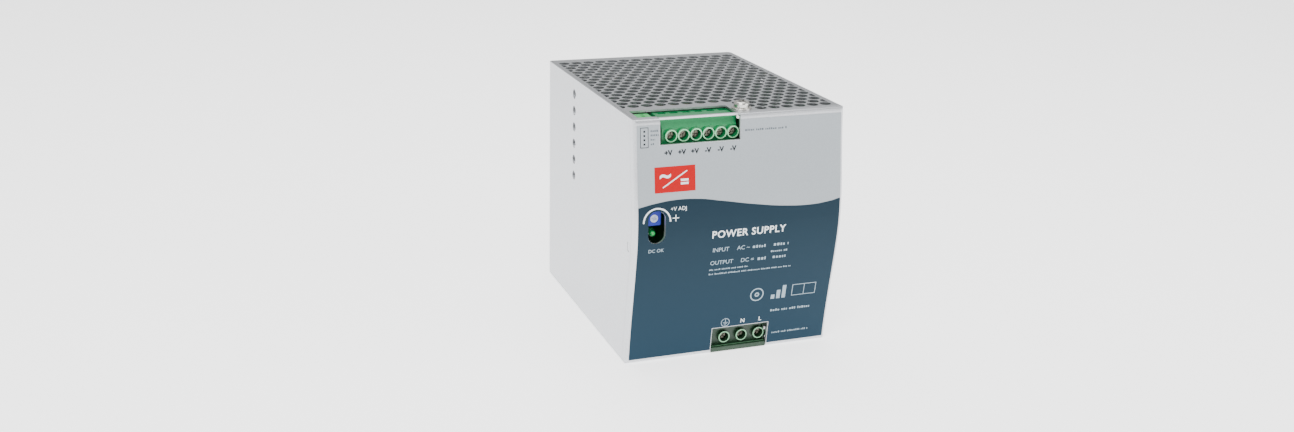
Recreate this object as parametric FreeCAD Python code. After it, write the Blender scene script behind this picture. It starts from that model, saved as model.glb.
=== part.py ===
import FreeCAD, Part
import math
import os

# DIN rail power supply, millimetres.
# X runs left to right, the front faces -Y, Z is up.
# The origin is under the middle of the bounding box, on the surface the case stands on.

# overall
width = 110.0
height = 125.2
depth = 150.0               # label crest to the lips of the rail clip

# S-shaped front, seen from the side
front_bulge = 5.5           # crest ahead of the top edge
crest_height = 71.0         # crest above the bottom
toe_setback = 3.7           # bottom edge behind the top edge
upper_handle = 26.0         # curve handles: lengths up and down the profile
upper_lean = 2.2
crest_handle = 17.0
toe_handle = 24.0
toe_lean = 1.6

# sheet metal
wall = 1.2
bend_radius = 2.2
panel_sheet = 1.5
panel_return = 5.0
panel_edge_radius = 1.7
grille_sheet = 1.0
grille_flange = 5.0
seam = 0.15
label_thickness = 0.2
label_side_margin = 1.6
label_top_margin = 2.6
label_bottom_margin = 2.1
label_gap = 0.35
label_window_gap = 0.05

# perforation
hole_radius = 2.9
hole_pitch = 7.0
hole_border = 0.65
hole_edge_strip = 0.6          # metal left between a cut-off hole and the bent edge

# side vents
vent_radius = 2.5
vent_count = 6
vent_pitch = 8.9
vent_from_top = 8.2
vent_from_rear = 48.0

# window for the voltage trimmer and the lamp
window_from_left = 11.1
window_width = 8.7
window_height = 16.4
window_top_from_top = 43.4

# DIN rail clip
rail_height = 35.0
rail_edge = 1.0
rail_clearance = 0.3
rail_centre = 66.0
lip_thickness = 1.2
lip_overlap = 2.6
bracket_sheet = 1.0
bracket_width = 54.0
bracket_over_rail = 6.5
slider_sheet = 0.8
slider_play = 0.1
slider_width = 16.0
slider_tail = 18.0
spring_radius = 0.95
spring_wire = 0.35
spring_turns = 11
rivet_radius = 1.6
rivet_head_radius = 3.0
rivet_head = 1.1
rivet_spread_x = 40.0
rivet_spread_z = 13.0

# screw terminals
clamp_travel = 2.8
well_recess = 2.8
head_thickness = 1.4
head_radius = 2.0
well_radius = 2.5
tower_radius = 3.1
tower_height = 2.0
shank_radius = 1.5
fit_gap = 0.05
septum = 2.6
cage_front_wall = 1.3
cage_back_wall = 1.1
cage_side_wall = 0.55
cage_half_width = 2.55
cage_half_height = 2.3
contact_thickness = 1.0
contact_half_width = 1.65
pin_half = 0.5
terminal_play = 0.1
terminal_rear_wall = 1.2

output_poles = 6
output_pitch = 6.35
output_first_from_left = 19.925
output_axis_from_top = 9.2
output_recess = 1.7
output_top_gap = 1.6
output_end_margin = 0.35
output_left_margin = 4.3    # block's left end from the first screw
output_shoulder = 2.2       # its sloped front ends this far past the last screw

input_poles = 3
input_pitch = 9.52
input_first_from_left = 53.68
input_axis = 7.3
input_recess = 1.7
input_left_margin = 7.6
input_right_margin = 3.2
input_bottom_gap = 0.3
input_ledge = 2.7

output_notch_left = 13.2    # cut-outs in the front panel, from its left edge
output_notch_past_last = 2.625   # and past the last screw
output_notch_depth = 12.4
bar_setback = 2.0           # top bar behind the front edge
bar_depth = 1.5
bar_thickness = 1.0
input_notch_gap_left = 0.58      # beside the input block
input_notch_gap_right = 0.38
input_notch_height = 14.1

# signal connector
signal_poles = 4
signal_pitch = 2.54
signal_from_left = 9.5
signal_from_front = 11.1
plug_half_width = 3.5
plug_end = 2.0
plug_cap = 8.1
plug_insert = 8.7
plug_step = 0.6
plug_play = 0.15
header_wall = 0.85
header_floor = 1.5
signal_pin = 0.8
signal_screw_radius = 0.72

# trimmer and lamp
trimmer_width = 6.7
trimmer_height = 6.9
trimmer_depth = 8.0
trimmer_recess = 3.9
trimmer_below_window_top = 4.9
rotor_radius = 1.92
rotor_play = 0.08
rotor_depth = 1.4
lamp_radius = 1.5
lamp_above_window_bottom = 3.4
lamp_length = 5.0
lamp_recess = 4.6

# boards
board = 1.6
side_gap_left = 2.2
side_gap_right = 3.8
sheet_thickness = 0.4
standoff_radius = 2.5
board_hole_radius = 1.6
board_screw_head = 2.75
board_screw_head_height = 1.8

# screws
case_screw_radius = 1.5
case_head_radius = 2.8
case_head_height = 1.9
earth_screw_radius = 2.0
earth_head_radius = 3.9
earth_head_height = 2.9
earth_washer_radius = 5.0
earth_washer_thickness = 0.8
earth_past_notch = 4.8
earth_from_front = 9.8

# where the main faces lie
x_left = -width / 2
x_right = width / 2
clip_proud = 2 * slider_play + slider_sheet + bracket_sheet + rail_edge + rail_clearance + lip_thickness
y_rear = depth / 2 - clip_proud
y_crest = -depth / 2 + label_thickness
y_top = y_crest + front_bulge
y_toe = y_top + toe_setback
inner_left = x_left + wall
inner_right = x_right - wall
inner_rear = y_rear - wall

# places along X that follow the terminals, from the left side
output_notch_right = output_first_from_left + (output_poles - 1) * output_pitch + output_notch_past_last
input_notch_left = input_first_from_left - input_left_margin - input_notch_gap_left
input_notch_right = (input_first_from_left + (input_poles - 1) * input_pitch
                     + input_right_margin + input_notch_gap_right)
earth_from_left = output_notch_right + earth_past_notch


def box(x0, x1, y0, y1, z0, z1):
    corner = FreeCAD.Vector(x0, y0, z0)
    return Part.makeBox(x1 - x0, y1 - y0, z1 - z0, corner)


def rod_x(x0, x1, y, z, radius):
    return Part.makeCylinder(radius, x1 - x0, FreeCAD.Vector(x0, y, z), FreeCAD.Vector(1, 0, 0))


def rod_y(x, y0, y1, z, radius):
    return Part.makeCylinder(radius, y1 - y0, FreeCAD.Vector(x, y0, z), FreeCAD.Vector(0, 1, 0))


def rod_z(x, y, z0, z1, radius):
    return Part.makeCylinder(radius, z1 - z0, FreeCAD.Vector(x, y, z0))


def joined(pieces):
    first = pieces[0]
    if len(pieces) == 1:
        return first
    return first.fuse(pieces[1:]).removeSplitter()


def rounded(shape, radius, test):
    chosen = [edge for edge in shape.Edges if test(edge)]
    return shape.makeFillet(radius, chosen)


def upright(edge):
    box_of = edge.BoundBox
    return box_of.ZLength > 1e-3 and box_of.XLength < 1e-4 and box_of.YLength < 1e-4


def along_y(edge):
    box_of = edge.BoundBox
    return box_of.YLength > 1e-3 and box_of.XLength < 1e-4 and box_of.ZLength < 1e-4


def save(name, pieces):
    solids = []
    for piece in pieces:
        solids.extend(piece.Solids)
    for solid in solids:
        if not solid.isValid() or solid.Volume <= 0:
            raise ValueError(name + " has a faulty solid")
    shape = solids[0] if len(solids) == 1 else Part.makeCompound(solids)
    shape.exportStep(os.path.join("parts", name + ".step"))
    print(name, len(solids), round(shape.Volume, 1))


# ---- front profile

def profile_edges(shift, x):
    """Two curves from the top edge over the crest to the bottom edge, moved back by shift."""
    top = FreeCAD.Vector(x, y_top + shift, height)
    crest = FreeCAD.Vector(x, y_crest + shift, crest_height)
    toe = FreeCAD.Vector(x, y_toe + shift, 0)
    upper = Part.BezierCurve()
    upper.setPoles([
        top,
        top + FreeCAD.Vector(0, -upper_lean, -upper_handle),
        crest + FreeCAD.Vector(0, 0, crest_handle),
        crest,
    ])
    lower = Part.BezierCurve()
    lower.setPoles([
        crest,
        crest + FreeCAD.Vector(0, 0, -crest_handle),
        toe + FreeCAD.Vector(0, -toe_lean, toe_handle),
        toe,
    ])
    return [upper.toShape(), lower.toShape()]


def front_slab(near, far, x0, x1):
    """Solid between the front profile moved back by near and by far."""
    front = profile_edges(near, x0)
    back = profile_edges(far, x0)
    top = FreeCAD.Vector(x0, y_top, height)
    toe = FreeCAD.Vector(x0, y_toe, 0)
    step_near = FreeCAD.Vector(0, near, 0)
    step_far = FreeCAD.Vector(0, far, 0)
    top_line = Part.makeLine(top + step_near, top + step_far)
    toe_line = Part.makeLine(toe + step_near, toe + step_far)
    edges = Part.__sortEdges__(front + back + [top_line, toe_line])
    face = Part.Face(Part.Wire(edges))
    return face.extrude(FreeCAD.Vector(x1 - x0, 0, 0))


def front_space(shift):
    """Everything ahead of the front profile moved back by shift."""
    front = profile_edges(shift, x_left - 1)
    ahead = y_crest - 30
    top = FreeCAD.Vector(x_left - 1, y_top + shift, height)
    top_far = FreeCAD.Vector(x_left - 1, ahead, height)
    toe = FreeCAD.Vector(x_left - 1, y_toe + shift, 0)
    toe_far = FreeCAD.Vector(x_left - 1, ahead, 0)
    lines = [Part.makeLine(top, top_far), Part.makeLine(top_far, toe_far), Part.makeLine(toe_far, toe)]
    face = Part.Face(Part.Wire(Part.__sortEdges__(front + lines)))
    return face.extrude(FreeCAD.Vector(width + 2, 0, 0))


def window_tool(grow, y0, y1):
    half = window_width / 2 + grow
    x = x_left + window_from_left
    top = height - window_top_from_top + grow
    bottom = top - window_height - 2 * grow
    upper_end = rod_y(x, y0, y1, top - half, half)
    lower_end = rod_y(x, y0, y1, bottom + half, half)
    middle = box(x - half, x + half, y0, y1, bottom + half, top - half)
    return joined([middle, upper_end, lower_end])


# ---- screw terminals: places along Y, front to back

def clamp_places(y_tower):
    at = {"tower": y_tower}
    at["head_front"] = y_tower + well_recess
    at["head_back"] = at["head_front"] + head_thickness
    at["septum_front"] = at["head_back"] + fit_gap
    at["septum_back"] = at["septum_front"] + septum
    at["cage_front"] = at["septum_back"] + terminal_play + clamp_travel
    at["cage_front_inner"] = at["cage_front"] + cage_front_wall
    at["bar_front"] = at["cage_front_inner"] + contact_thickness
    at["bar_back"] = at["bar_front"] + contact_thickness
    at["cage_back_inner"] = at["bar_back"] + clamp_travel + 2 * terminal_play
    at["cage_back"] = at["cage_back_inner"] + cage_back_wall
    at["chamber_back"] = at["cage_back"] + 2 * terminal_play
    at["housing_back"] = at["chamber_back"] + terminal_rear_wall
    return at


output_at = clamp_places(y_top + output_recess)
input_at = clamp_places(y_toe + input_recess)
board_front = max(output_at["housing_back"], input_at["housing_back"]) + terminal_play
board_back = board_front + board

output_axis = height - output_axis_from_top
output_top = height - output_top_gap
output_x = [x_left + output_first_from_left + i * output_pitch for i in range(output_poles)]
input_x = [x_left + input_first_from_left + i * input_pitch for i in range(input_poles)]

chamber_half_height = cage_half_height + 2 * terminal_play
leg_offset = chamber_half_height + 1.3
block_reach = leg_offset + pin_half + 0.7


def pole_cuts(x, axis, at, side, outlet):
    """Hollows of one pole; side is +1 for wires from above and -1 for wires from below."""
    well = rod_y(x, at["tower"] - 1, at["septum_front"], axis, well_radius)
    neck = rod_y(x, at["septum_front"] - 1, at["septum_back"] + 1, axis, shank_radius + 2 * fit_gap)
    half = cage_half_width + terminal_play
    chamber = box(x - half, x + half, at["septum_back"], at["chamber_back"],
                  axis - chamber_half_height, axis + chamber_half_height)
    inner = cage_half_width - cage_side_wall
    wire_near = min(axis, outlet)
    wire_far = max(axis, outlet)
    wire_way = box(x - inner, x + inner, at["bar_back"] + fit_gap, at["cage_back_inner"], wire_near, wire_far)
    slot_half = contact_half_width + terminal_play
    leg = axis - side * leg_offset
    slot_end = leg - side * (pin_half + terminal_play)
    slot = box(x - slot_half, x + slot_half, at["bar_front"] - terminal_play, at["bar_back"] + terminal_play,
               min(axis, slot_end), max(axis, slot_end))
    pin_space = pin_half + terminal_play
    pin_way = box(x - pin_space, x + pin_space, at["bar_front"], board_back,
                  leg - pin_space, leg + pin_space)
    return [well, neck, chamber, wire_way, slot, pin_way]


def clamp_cage(x, axis, at):
    """Square tube that the wire enters along Z, with a threaded front wall."""
    tube = box(x - cage_half_width, x + cage_half_width, at["cage_front"], at["cage_back"],
               axis - cage_half_height, axis + cage_half_height)
    inner = cage_half_width - cage_side_wall
    hollow = box(x - inner, x + inner, at["cage_front_inner"], at["cage_back_inner"],
                 axis - cage_half_height - 1, axis + cage_half_height + 1)
    thread = rod_y(x, at["cage_front"] - 1, at["cage_front_inner"] + 1, axis, shank_radius + fit_gap)
    return tube.cut([hollow, thread])


def clamp_screw(x, axis, at, turned):
    """Slotted screw; its tip stands on the contact bar and its head fills the well."""
    head = rod_y(x, at["head_front"], at["head_back"], axis, head_radius)
    head = rounded(head, 0.3, lambda edge: edge.BoundBox.YMax < at["head_front"] + 1e-3)
    shank = rod_y(x, at["head_back"], at["bar_front"] - fit_gap, axis, shank_radius)
    slot = box(x - head_radius - 1, x + head_radius + 1, at["head_front"] - 1, at["head_front"] + 0.8,
               axis - 0.35, axis + 0.35)
    cross = box(x - 0.35, x + 0.35, at["head_front"] - 1, at["head_front"] + 0.8,
                axis - 1.4, axis + 1.4)
    centre = FreeCAD.Vector(x, 0, axis)
    slot.rotate(centre, FreeCAD.Vector(0, 1, 0), turned)
    cross.rotate(centre, FreeCAD.Vector(0, 1, 0), turned)
    return joined([head, shank]).cut([slot, cross])


def clamp_contact(x, axis, at, side):
    """Flat bar inside the cage, with a pin through the housing to the board."""
    leg = axis - side * leg_offset
    leg_end = leg - side * pin_half
    bar_end = axis + side * cage_half_height
    bar = box(x - contact_half_width, x + contact_half_width, at["bar_front"], at["bar_back"],
              min(leg_end, bar_end), max(leg_end, bar_end))
    pin = box(x - pin_half, x + pin_half, at["bar_front"], board_back + 1.2, leg - pin_half, leg + pin_half)
    return joined([bar, pin])


def output_housing():
    left = output_x[0] - output_left_margin
    right = output_x[-1] + tower_radius + output_end_margin
    face = output_at["tower"] + tower_height
    bottom = output_axis - block_reach
    slant_foot = output_axis + tower_radius + 0.2
    slant_run = output_top - slant_foot
    rear = board_front - terminal_play
    outline = [
        FreeCAD.Vector(left, face, bottom),
        FreeCAD.Vector(left, face, slant_foot),
        FreeCAD.Vector(left, face + slant_run, output_top),
        FreeCAD.Vector(left, rear, output_top),
        FreeCAD.Vector(left, rear, bottom),
    ]
    body = Part.Face(Part.makePolygon(outline + outline[:1])).extrude(FreeCAD.Vector(right - left, 0, 0))
    body = body.cut(box(output_x[-1] + output_shoulder, right + 1, face - 1, output_at["septum_front"] + 0.8,
                        bottom - 1, output_top + 1))
    towers = []
    for x in output_x:
        tower = rod_y(x, output_at["tower"], face + 1, output_axis, tower_radius)
        towers.append(rounded(tower, 0.25, lambda edge: edge.BoundBox.YMax < output_at["tower"] + 1e-3))
    body = joined([body] + towers)
    cuts = []
    for x in output_x:
        cuts.extend(pole_cuts(x, output_axis, output_at, 1, output_top + 1))
    return body.cut(cuts)


def input_housing():
    left = input_x[0] - input_left_margin
    right = input_x[-1] + input_right_margin
    top = input_axis + block_reach
    face = input_at["tower"] + tower_height
    rear = board_front - terminal_play
    body = box(left, right, face, rear, input_bottom_gap, top)
    ledge_top = input_bottom_gap + input_ledge
    ledge = box(left, right, y_toe, face + 1, input_bottom_gap, ledge_top)
    ledge = rounded(ledge, 0.4, lambda edge: edge.BoundBox.YMax < y_toe + 1e-3 and edge.BoundBox.XLength > 1)
    rim_outer = box(left + 0.5, right, input_at["tower"] + 0.6, face + 1, ledge_top - 0.5, top)
    rim_inner = box(left + 1.2, right - 0.7, input_at["tower"] - 1, face, ledge_top - 1, top - 0.7)
    rim = rim_outer.cut(rim_inner)
    towers = []
    for x in input_x:
        tower = rod_y(x, input_at["tower"], face + 1, input_axis, tower_radius)
        towers.append(rounded(tower, 0.25, lambda edge: edge.BoundBox.YMax < input_at["tower"] + 1e-3))
    body = joined([body, ledge, rim] + towers)
    cuts = []
    for x in input_x:
        cuts.extend(pole_cuts(x, input_axis, input_at, -1, input_bottom_gap - 1))
    return body.cut(cuts)


def build_terminals():
    save("output_terminal", [output_housing()])
    save("input_terminal", [input_housing()])
    for i, x in enumerate(output_x):
        save("output_screw_%d" % (i + 1), [clamp_screw(x, output_axis, output_at, 25 + 37 * i)])
        save("output_clamp_%d" % (i + 1), [clamp_cage(x, output_axis, output_at)])
    for i, x in enumerate(input_x):
        save("input_screw_%d" % (i + 1), [clamp_screw(x, input_axis, input_at, 40 + 31 * i)])
        save("input_clamp_%d" % (i + 1), [clamp_cage(x, input_axis, input_at)])
    save("output_contacts", [clamp_contact(x, output_axis, output_at, 1) for x in output_x])
    save("input_contacts", [clamp_contact(x, input_axis, input_at, -1) for x in input_x])


# ---- signal connector, left of the output terminal, pulled out upwards

signal_x = x_left + signal_from_left
signal_mid = y_top + signal_from_front
signal_y = [signal_mid + (i - (signal_poles - 1) / 2) * signal_pitch for i in range(signal_poles)]
plug_half_length = (signal_poles - 1) / 2 * signal_pitch + plug_end
plug_top = height - grille_sheet - 0.4
cap_bottom = plug_top - plug_cap
plug_bottom = cap_bottom - plug_insert
header_top = cap_bottom - 2 * plug_play
header_bottom = plug_bottom - plug_play - header_floor
control_board_x = inner_left + side_gap_left + board
signal_screw_z = plug_top - 4.6
contact_half_x = 1.0
contact_half_y = 0.85
insert_half = plug_half_width - plug_step
insert_half_length = plug_half_length - plug_step


def signal_header():
    left = control_board_x + terminal_play
    right = signal_x + insert_half + plug_play + header_wall
    half_length = insert_half_length + plug_play + header_wall
    body = box(left, right, signal_mid - half_length, signal_mid + half_length, header_bottom, header_top)
    pocket_half = insert_half + plug_play
    pocket_length = insert_half_length + plug_play
    pocket = box(signal_x - pocket_half, signal_x + pocket_half, signal_mid - pocket_length,
                 signal_mid + pocket_length, header_bottom + header_floor, header_top + 1)
    space = signal_pin / 2 + fit_gap
    ways = [box(signal_x - space, signal_x + space, y - space, y + space, header_bottom - 1,
                header_bottom + header_floor + 1) for y in signal_y]
    return body.cut([pocket] + ways)


def header_pins():
    half = signal_pin / 2
    foot = header_bottom - 1.2
    tip = plug_bottom + 6.0
    pins = []
    for y in signal_y:
        upright_leg = box(signal_x - half, signal_x + half, y - half, y + half, foot - half, tip)
        board_leg = box(control_board_x - board - 1.0, signal_x, y - half, y + half, foot - half, foot + half)
        pins.append(joined([upright_leg, board_leg]))
    return pins


def signal_contact(y):
    body = box(signal_x - contact_half_x, signal_x + contact_half_x, y - contact_half_y, y + contact_half_y,
               plug_bottom + 0.6, plug_top - 2.2)
    pin_half_way = signal_pin / 2 + plug_play
    pin_way = box(signal_x - pin_half_way, signal_x + pin_half_way, y - pin_half_way, y + pin_half_way,
                  plug_bottom, plug_bottom + 6.6)
    wire_way = box(signal_x - 0.6, signal_x + 0.6, y - 0.6, y + 0.6, signal_screw_z - 1.6, plug_top)
    thread = rod_x(signal_x - contact_half_x - 1, signal_x, y, signal_screw_z, signal_screw_radius + fit_gap)
    return body.cut([pin_way, wire_way, thread])


def signal_plug():
    cap = box(signal_x - plug_half_width, signal_x + plug_half_width, signal_mid - plug_half_length,
              signal_mid + plug_half_length, cap_bottom, plug_top)
    cap = rounded(cap, 0.4, upright)
    insert = box(signal_x - insert_half, signal_x + insert_half, signal_mid - insert_half_length,
                 signal_mid + insert_half_length, plug_bottom, cap_bottom + 0.5)
    body = joined([cap, insert])
    cuts = []
    for y in signal_y:
        cuts.append(box(signal_x - contact_half_x - fit_gap, signal_x + contact_half_x + fit_gap,
                        y - contact_half_y - fit_gap, y + contact_half_y + fit_gap,
                        plug_bottom + 0.55, plug_top - 2.15))
        pin_space = signal_pin / 2 + plug_play
        cuts.append(box(signal_x - pin_space, signal_x + pin_space, y - pin_space, y + pin_space,
                        plug_bottom - 1, plug_bottom + 1))
        cuts.append(box(signal_x - 0.95, signal_x + 0.95, y - 0.8, y + 0.8, plug_top - 3, plug_top + 1))
        cuts.append(rod_x(signal_x - plug_half_width - 1, signal_x - contact_half_x, y, signal_screw_z,
                          signal_screw_radius + fit_gap))
    return body.cut(cuts)


def signal_screw(y):
    outer = signal_x - plug_half_width + 0.4
    inner = signal_x - 0.7
    screw = rod_x(outer, inner, y, signal_screw_z, signal_screw_radius)
    slot = box(outer - 1, outer + 0.5, y - 1, y + 1, signal_screw_z - 0.15, signal_screw_z + 0.15)
    return screw.cut(slot)


def build_signal():
    save("signal_header", [signal_header()])
    save("header_pins", header_pins())
    save("signal_plug", [signal_plug()])
    save("signal_contacts", [signal_contact(y) for y in signal_y])
    for i, y in enumerate(signal_y):
        save("signal_screw_%d" % (i + 1), [signal_screw(y)])


# ---- trimmer and lamp behind the window

window_x = x_left + window_from_left
trimmer_z = height - window_top_from_top - trimmer_below_window_top
trimmer_front = y_crest + trimmer_recess
lamp_z = height - window_top_from_top - window_height + lamp_above_window_bottom
board_edge_front = y_top + 2.9


def trimmer_body():
    half = trimmer_width / 2
    half_z = trimmer_height / 2
    body = box(window_x - half, window_x + half, trimmer_front, trimmer_front + trimmer_depth,
               trimmer_z - half_z, trimmer_z + half_z)
    body = rounded(body, 0.35, along_y)
    foot = box(control_board_x + terminal_play, window_x, board_edge_front + 0.3,
               trimmer_front + trimmer_depth, trimmer_z - half_z + 0.8, trimmer_z + half_z - 0.8)
    pocket = rod_y(window_x, trimmer_front - 1, trimmer_front + rotor_depth + 2 * rotor_play, trimmer_z,
                   rotor_radius + rotor_play)
    return joined([body, foot]).cut(pocket)


def trimmer_rotor():
    rotor = rod_y(window_x, trimmer_front + rotor_play, trimmer_front + rotor_depth, trimmer_z, rotor_radius)
    arm = 0.32
    reach = 1.35
    front = trimmer_front - 1
    back = trimmer_front + rotor_play + 0.7
    upright_slot = box(window_x - arm, window_x + arm, front, back, trimmer_z - reach, trimmer_z + reach)
    level_slot = box(window_x - reach, window_x + reach, front, back, trimmer_z - arm, trimmer_z + arm)
    slots = joined([upright_slot, level_slot])
    slots.rotate(FreeCAD.Vector(window_x, 0, trimmer_z), FreeCAD.Vector(0, 1, 0), 18)
    return rotor.cut(slots)


def status_lamp():
    front = y_crest + lamp_recess
    dome = Part.makeSphere(lamp_radius, FreeCAD.Vector(window_x, front + lamp_radius, lamp_z))
    barrel = rod_y(window_x, front + lamp_radius, front + lamp_length, lamp_z, lamp_radius)
    flange = rod_y(window_x, front + lamp_length - 0.8, front + lamp_length, lamp_z, lamp_radius + 0.3)
    lead_back = front + lamp_length + 1.6
    leads = []
    for offset in (-0.9, 0.9):
        level = lamp_z + offset
        leads.append(box(window_x - 0.25, window_x + 0.25, front + lamp_length - 0.5, lead_back,
                         level - 0.25, level + 0.25))
        leads.append(box(control_board_x - board - 0.8, window_x + 0.25, lead_back - 0.5, lead_back,
                         level - 0.25, level + 0.25))
    return joined([dome, barrel, flange] + leads)


# ---- boards, their standoffs and screws

control_bottom = lamp_z - 8.0
control_top = header_top + 1.2
control_rear = y_top + 50.0
main_inner = inner_right - side_gap_right - board
main_outer = main_inner + board
main_front = board_front - 3.0
main_rear = inner_rear - 4.0
main_bottom = 6.5
main_top = height - grille_sheet - grille_flange - 1.5
front_board_left = output_x[0] - 4.5
front_board_top = output_top - 4.0
front_board_bottom = 2.4
tab_height = 10.0
tab_levels = [main_bottom + 20.0, main_top - 30.0]
control_points = [
    (board_edge_front + 14.0, control_bottom + 5.0),
    (control_rear - 5.0, control_bottom + 5.0),
    (control_rear - 5.0, control_top - 5.0),
]
main_middle = (main_front + main_rear) / 2
main_points = []
for point_y in (main_front + 8.0, main_middle, main_rear - 6.0):
    for point_z in (main_bottom + 6.0, main_top - 6.0):
        main_points.append((point_y, point_z))


def control_board():
    plate = box(control_board_x - board, control_board_x, board_edge_front, control_rear,
                control_bottom, control_top)
    cuts = [rod_x(control_board_x - board - 1, control_board_x + 1, y, z, board_hole_radius)
            for y, z in control_points]
    foot = header_bottom - 1.2
    for y in signal_y:
        cuts.append(rod_x(control_board_x - board - 1, control_board_x + 1, y, foot, signal_pin * 0.75))
    lead_y = y_crest + lamp_recess + lamp_length + 1.35
    for offset in (-0.9, 0.9):
        cuts.append(rod_x(control_board_x - board - 1, control_board_x + 1, lead_y, lamp_z + offset, 0.5))
    return plate.cut(cuts)


def main_board():
    plate = box(main_inner, main_outer, main_front, main_rear, main_bottom, main_top)
    cuts = [rod_x(main_inner - 1, main_outer + 1, y, z, board_hole_radius) for y, z in main_points]
    for level in tab_levels:
        cuts.append(box(main_inner - 1, main_outer + 1, board_front - fit_gap, board_back + fit_gap,
                        level - fit_gap, level + tab_height + fit_gap))
    return plate.cut(cuts)


def front_board():
    plate = box(front_board_left, main_inner - terminal_play, board_front, board_back,
                front_board_bottom, front_board_top)
    tabs = [box(main_inner - 1, main_outer + 0.6, board_front, board_back, level, level + tab_height)
            for level in tab_levels]
    cuts = []
    for x in output_x:
        cuts.append(rod_y(x, board_front - 1, board_back + 1, output_axis - leg_offset, pin_half * 1.6))
    for x in input_x:
        cuts.append(rod_y(x, board_front - 1, board_back + 1, input_axis + leg_offset, pin_half * 1.6))
    return joined([plate] + tabs).cut(cuts)


def insulating_sheet():
    mid = (main_outer + inner_right) / 2
    sheet = box(mid, mid + sheet_thickness, main_front + 1, main_rear - 1, main_bottom + 1, main_top - 1)
    holes = [rod_x(mid - 1, mid + sheet_thickness + 1, y, z, standoff_radius + 0.3) for y, z in main_points]
    return sheet.cut(holes)


def standoffs():
    pillars = []
    for y, z in control_points:
        pillar = rod_x(inner_left, control_board_x - board, y, z, standoff_radius)
        pillars.append(pillar.cut(rod_x(inner_left + 0.4, control_board_x, y, z, case_screw_radius)))
    for y, z in main_points:
        pillar = rod_x(main_outer, inner_right, y, z, standoff_radius)
        pillars.append(pillar.cut(rod_x(main_outer - 1, inner_right - 0.4, y, z, case_screw_radius)))
    return pillars


def board_screw(x_face, direction, y, z, length):
    head_end = x_face + direction * board_screw_head_height
    head = rod_x(min(x_face, head_end), max(x_face, head_end), y, z, board_screw_head)
    tip = x_face - direction * length
    shank = rod_x(min(x_face, tip), max(x_face, tip), y, z, case_screw_radius - 0.02)
    return joined([head, shank])


def board_screws():
    screws = [board_screw(control_board_x, 1, y, z, board + side_gap_left - 0.6) for y, z in control_points]
    screws += [board_screw(main_inner, -1, y, z, board + side_gap_right - 0.6) for y, z in main_points]
    return screws


def build_boards():
    save("trimmer_body", [trimmer_body()])
    save("trimmer_rotor", [trimmer_rotor()])
    save("status_lamp", [status_lamp()])
    save("control_board", [control_board()])
    save("front_board", [front_board()])
    save("main_board", [main_board()])
    save("insulating_sheet", [insulating_sheet()])
    save("board_standoffs", standoffs())
    save("board_screws", board_screws())


# ---- power parts, all standing on the main board and reaching to the left

board_face = main_inner - 0.1   # where their feet stand
sink_base = 3.0
sink_fin = 1.4
sink_fin_depth = 9.0
sink_fins = 11
sink_reach = 88.0
sink_height = 78.0
sink_bottom = main_bottom + 22.0
front_share = 0.3525        # the front heat sink's place in the depth behind the front board
rear_share = 0.3212         # the rear heat sink's place, from the rear
power_depth = main_rear - board_back
front_sink_y = board_back + front_share * power_depth
rear_sink_y = main_rear - rear_share * power_depth
between_sinks_y = (front_sink_y + rear_sink_y) / 2
front_room = front_sink_y - sink_base / 2 - sink_fin_depth - board_back
middle_room = rear_sink_y - front_sink_y - sink_base
rear_room = main_rear - rear_sink_y - sink_base / 2 - sink_fin_depth
fin_gap = 0.4               # from the tips of the fins
winding_gap = 0.175         # from the backs of the heat sinks
window_gap = 0.4            # from the winding to the core
core_height = 44.0
core_reach = 54.0
core_thickness = 15.0
winding_half = middle_room / 2 - winding_gap
core_gap = winding_half + window_gap - core_thickness / 2
transformer_z = main_top - 32.0
choke_play = 0.75
choke_wall = 6.7
choke_radius = front_room / 2 - choke_play
choke_bore = choke_radius - choke_wall
choke_depth = 18.0
bulk_count = 4
bulk_rear_gap = 1.0
bulk_gap = 1.2              # between one can and the next
bulk_radius = (rear_room - bulk_rear_gap - fin_gap) / 2
bulk_length = 50.0
bulk_pitch = 2 * bulk_radius + bulk_gap
bulk_z = (main_bottom + main_top - (bulk_count - 1) * bulk_pitch) / 2
output_cap_front_gap = 1.5
output_cap_gap = 1.0        # between the two columns
output_cap_radius = (front_room - fin_gap - output_cap_front_gap - output_cap_gap) / 4
output_cap_length = 30.0
output_cap_pitch = 2 * output_cap_radius + 1.5
output_cap_z = main_top - 16.0
film_front_gap = 4.0
film_width = front_room - fin_gap - film_front_gap
film_height = 18.0
film_depth = 11.0
film_pitch = 15.0
device_width = 15.0
device_height = 20.0
device_thickness = 4.6
device_pitch = 24.0
device_bottom = sink_bottom + 10.0


def heat_sink(y, toward):
    """Finned extrusion with vertical air channels; its fins point along toward (+1 or -1 in Y)."""
    sink_top = sink_bottom + sink_height
    end = board_face - sink_reach
    pieces = [box(end, board_face, y - sink_base / 2, y + sink_base / 2, sink_bottom, sink_top)]
    spacing = (sink_reach - sink_fin) / (sink_fins - 1)
    tip = y + toward * (sink_base / 2 + sink_fin_depth)
    for i in range(sink_fins):
        x = end + i * spacing
        pieces.append(box(x, x + sink_fin, min(y, tip), max(y, tip), sink_bottom, sink_top))
    return joined(pieces)


def power_devices():
    devices = []
    for y, toward in ((front_sink_y, -1), (rear_sink_y, 1)):
        back = y - toward * (sink_base / 2)
        front = back - toward * device_thickness
        for i in (-1, 0, 1):
            x = board_face - sink_reach / 2 + i * device_pitch
            device = box(x - device_width / 2, x + device_width / 2, min(back, front), max(back, front),
                         device_bottom, device_bottom + device_height)
            bore = rod_y(x, min(back, front) - 1, max(back, front) + 1,
                         device_bottom + device_height - 4.0, 1.7)
            devices.append(device.cut(bore))
    return devices


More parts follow.
